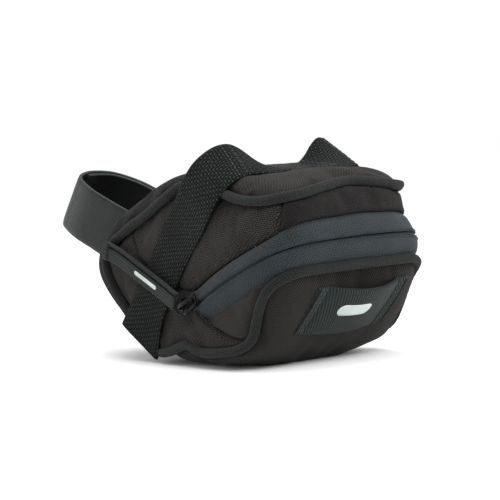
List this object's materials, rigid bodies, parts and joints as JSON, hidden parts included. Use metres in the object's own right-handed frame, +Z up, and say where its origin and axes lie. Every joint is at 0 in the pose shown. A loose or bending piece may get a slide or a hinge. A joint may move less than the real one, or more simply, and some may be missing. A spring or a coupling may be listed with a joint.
{
  "type": "bicycle saddle bag",
  "caption": "Wedge-shaped soft saddle bag with piped seams, a zip round the rear, webbing loops for the saddle rails, a seatpost strap and a webbing loop for a clip-on light.",
  "frame": {"origin": "middle of the flat base the bag stands on, on the centre plane", "axes": "+Y forward to the seatpost, +X to the rider's right, +Z up"},
  "size_m": [0.0969, 0.2114, 0.1014],
  "materials": {
    "upper_fabric": "fine plain-weave polyester, matt, slightly brown charcoal",
    "lower_fabric": "fine plain-weave polyester, matt, a little darker",
    "gusset_fabric": "diagonal ribbed weave, matt",
    "piping": "woven tape rolled round a cord, matt",
    "zip_tape": "water-resistant coated zip tape, faint blue-grey sheen",
    "zip_coil": "nylon coil, satin black",
    "zip_metal": "small gloss black slider and stops",
    "webbing": "coarse nylon webbing, greenish black",
    "post_strap": "satin hook-and-loop strap, dark grey-green",
    "board": "plastic stiffener sheet",
    "reflective": "light grey reflective print",
    "thread": "close rows of polyester thread"
  },
  "bodies": {
    "bag": {"top_panel": "upper_fabric", "top_stiffener": "board", "front_panel": "upper_fabric", "bottom_panel": "lower_fabric", "bottom_stiffener": "board", "rear_upper_panel": "upper_fabric", "left_side_panel": "upper_fabric", "right_side_panel": "upper_fabric", "left_lower_side_panel": "upper_fabric", "right_lower_side_panel": "upper_fabric", "top_piping": "piping", "left_lower_piping": "piping", "right_lower_piping": "piping", "zipper_tape_upper": "zip_tape", "zipper_coil_upper": "zip_coil", "left_zip_stop": "zip_metal", "right_zip_stop": "zip_metal", "left_rail_strap": "webbing", "right_rail_strap": "webbing", "rail_strap_middle": "webbing", "seatpost_strap": "post_strap"},
    "mouth": {"rear_panel": "lower_fabric", "rear_stiffener": "board", "lower_piping_rear": "piping", "zipper_tape_lower": "zip_tape", "zipper_coil_lower": "zip_coil", "left_gusset": "gusset_fabric", "right_gusset": "gusset_fabric", "light_loop": "webbing", "left_light_loop_bar_tack": "thread", "right_light_loop_bar_tack": "thread", "light_loop_reflector": "reflective"},
    "slider": {"zip_slider": "zip_metal", "slider_bridge": "zip_metal"},
    "pull": {"zip_pull_tab": "webbing", "zip_pull_reflector": "reflective"},
    "left_strap_end": {"left_rail_strap_end": "webbing"},
    "right_strap_end": {"right_rail_strap_end": "webbing"},
    "post_flap": {"seatpost_strap_flap": "post_strap"}
  },
  "joints": [
    {"name": "mouth_hinge", "type": "hinge", "parent": "bag", "child": "mouth", "pos_m": [0, -0.032, 0], "axis": [1, 0, 0], "range_deg": [0, 30], "deforming": ["left_gusset", "right_gusset", "zipper_tape_lower", "zipper_coil_lower"]},
    {"name": "slider_slide", "type": "slide", "parent": "bag", "child": "slider", "axis": [-0.0881, -0.9144, 0.395], "range_m": [0, 0.04]},
    {"name": "pull_hinge", "type": "hinge", "parent": "slider", "child": "pull", "pos_m": [-0.04826, 0.00279, 0.02744], "axis": [0.0841, 0.3883, 0.9177], "range_deg": [0, 120]},
    {"name": "left_strap_peel", "type": "hinge", "parent": "bag", "child": "left_strap_end", "pos_m": [-0.04088, 0.03218, 0.02747], "axis": [0.1212, 0.7927, 0.5975], "range_deg": [0, 75]},
    {"name": "right_strap_peel", "type": "hinge", "parent": "bag", "child": "right_strap_end", "pos_m": [0.04088, 0.03218, 0.02747], "axis": [0.1212, -0.7927, -0.5975], "range_deg": [0, 75]},
    {"name": "post_flap_peel", "type": "hinge", "parent": "bag", "child": "post_flap", "pos_m": [0.00355, 0.13163, 0.07392], "axis": [0, -0.6254, 0.7803], "range_deg": [0, 90]}
  ],
  "couplings": [
    {"joint": "pull_hinge", "follows": "slider_slide", "rad_per_m": 52}
  ]
}
